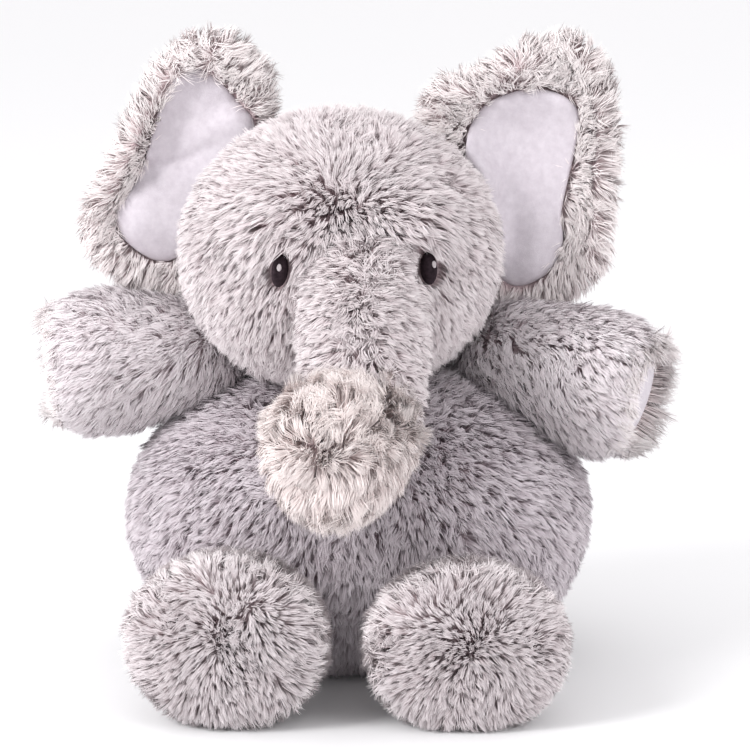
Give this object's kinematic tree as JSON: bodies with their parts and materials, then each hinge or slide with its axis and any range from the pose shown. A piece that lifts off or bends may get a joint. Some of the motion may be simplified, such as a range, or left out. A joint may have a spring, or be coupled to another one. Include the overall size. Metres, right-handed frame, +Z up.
{
  "type": "stuffed toy elephant",
  "caption": "Seated plush elephant of long grey pile with short-nap ear linings and paw pads, embroidered eyes, a curled trunk and sewn limbs that flex.",
  "frame": {"origin": "on the floor, under the middle of the toy's box", "axes": "+Z up, the toy faces -Y, and its own left side is +X"},
  "size_m": [0.2936, 0.2461, 0.282],
  "materials": {
    "grey_pile": "long soft pile, pale tips over mauve-brown roots",
    "cream_pile": "long fluffy pile",
    "velboa": "short nap, matt",
    "eye_thread": "satin stitch",
    "fibre": "loose polyester fibre",
    "pellet_bag": "inner bag of plastic pellets"
  },
  "bodies": {
    "torso": {"body_cover_front_left": "grey_pile", "body_cover_front_right": "grey_pile", "body_cover_back": "grey_pile", "body_stuffing": "fibre", "pellet_bag": "pellet_bag"},
    "neck": {"neck_stuffing": "fibre"},
    "head": {"head_cover_left": "grey_pile", "head_cover_right": "grey_pile", "head_cover_back": "grey_pile", "head_stuffing": "fibre", "eye_left": "eye_thread", "eye_right": "eye_thread", "trunk_base_cover": "grey_pile", "trunk_base_stuffing": "fibre"},
    "trunk_middle": {"trunk_middle_cover": "grey_pile", "trunk_middle_stuffing": "fibre"},
    "trunk_end": {"trunk_end_cover": "grey_pile", "trunk_end_stuffing": "fibre", "trunk_tip_disc": "cream_pile"},
    "ear_left": {"ear_left_back": "grey_pile", "ear_left_wadding": "fibre", "ear_left_lining": "velboa"},
    "ear_right": {"ear_right_back": "grey_pile", "ear_right_wadding": "fibre", "ear_right_lining": "velboa"},
    "arm_left": {"arm_left_cover": "grey_pile", "arm_left_stuffing": "fibre", "paw_pad_left": "velboa"},
    "arm_right": {"arm_right_cover": "grey_pile", "arm_right_stuffing": "fibre", "paw_pad_right": "velboa"},
    "leg_left": {"leg_left_cover": "grey_pile", "leg_left_stuffing": "fibre", "foot_sole_left": "grey_pile"},
    "leg_right": {"leg_right_cover": "grey_pile", "leg_right_stuffing": "fibre", "foot_sole_right": "grey_pile"},
    "tail": {"tail_cover": "grey_pile", "tail_stuffing": "fibre"}
  },
  "joints": [
    {"name": "head_turn", "type": "hinge", "parent": "torso", "child": "neck", "pos_m": [-0.001, 0.0204, 0.139], "axis": [0, 0, 1], "range_deg": [-10, 10], "stiffness_Nm_per_rad": 2},
    {"name": "head_tip_back", "type": "hinge", "parent": "neck", "child": "head", "pos_m": [-0.001, 0.0204, 0.139], "axis": [-1, 0, 0], "range_deg": [0, 16], "stiffness_Nm_per_rad": 3},
    {"name": "trunk_lift", "type": "hinge", "parent": "head", "child": "trunk_middle", "pos_m": [0.005, -0.0646, 0.161], "axis": [-1, 0, 0], "range_deg": [0, 30], "stiffness_Nm_per_rad": 0.5},
    {"name": "trunk_curl", "type": "hinge", "parent": "trunk_middle", "child": "trunk_end", "pos_m": [0.003, -0.0796, 0.123], "axis": [-1, 0, 0], "range_deg": [-15, 15], "stiffness_Nm_per_rad": 0.4},
    {"name": "ear_left_flap", "type": "hinge", "parent": "head", "child": "ear_left", "pos_m": [0.0545, 0.0384, 0.2095], "axis": [0.4613, 0, -0.8872], "range_deg": [-20, 30], "stiffness_Nm_per_rad": 0.15},
    {"name": "ear_right_flap", "type": "hinge", "parent": "head", "child": "ear_right", "pos_m": [-0.064, 0.0384, 0.213], "axis": [0.4819, 0, 0.8762], "range_deg": [-20, 30], "stiffness_Nm_per_rad": 0.15},
    {"name": "arm_left_swing", "type": "hinge", "parent": "torso", "child": "arm_left", "pos_m": [0.07, 0.0184, 0.139], "axis": [0, 0, -1], "range_deg": [-15, 25], "stiffness_Nm_per_rad": 0.5},
    {"name": "arm_right_swing", "type": "hinge", "parent": "torso", "child": "arm_right", "pos_m": [-0.072, 0.0184, 0.139], "axis": [0, 0, 1], "range_deg": [-15, 30], "stiffness_Nm_per_rad": 0.5},
    {"name": "leg_left_raise", "type": "hinge", "parent": "torso", "child": "leg_left", "pos_m": [0.046, -0.0566, 0.033], "axis": [-1, 0, 0], "range_deg": [0, 12], "stiffness_Nm_per_rad": 1},
    {"name": "leg_right_raise", "type": "hinge", "parent": "torso", "child": "leg_right", "pos_m": [-0.048, -0.0566, 0.036], "axis": [-1, 0, 0], "range_deg": [0, 12], "stiffness_Nm_per_rad": 1},
    {"name": "tail_lift", "type": "hinge", "parent": "torso", "child": "tail", "pos_m": [-0.001, 0.1004, 0.048], "axis": [1, 0, 0], "range_deg": [0, 40], "stiffness_Nm_per_rad": 0.03}
  ]
}
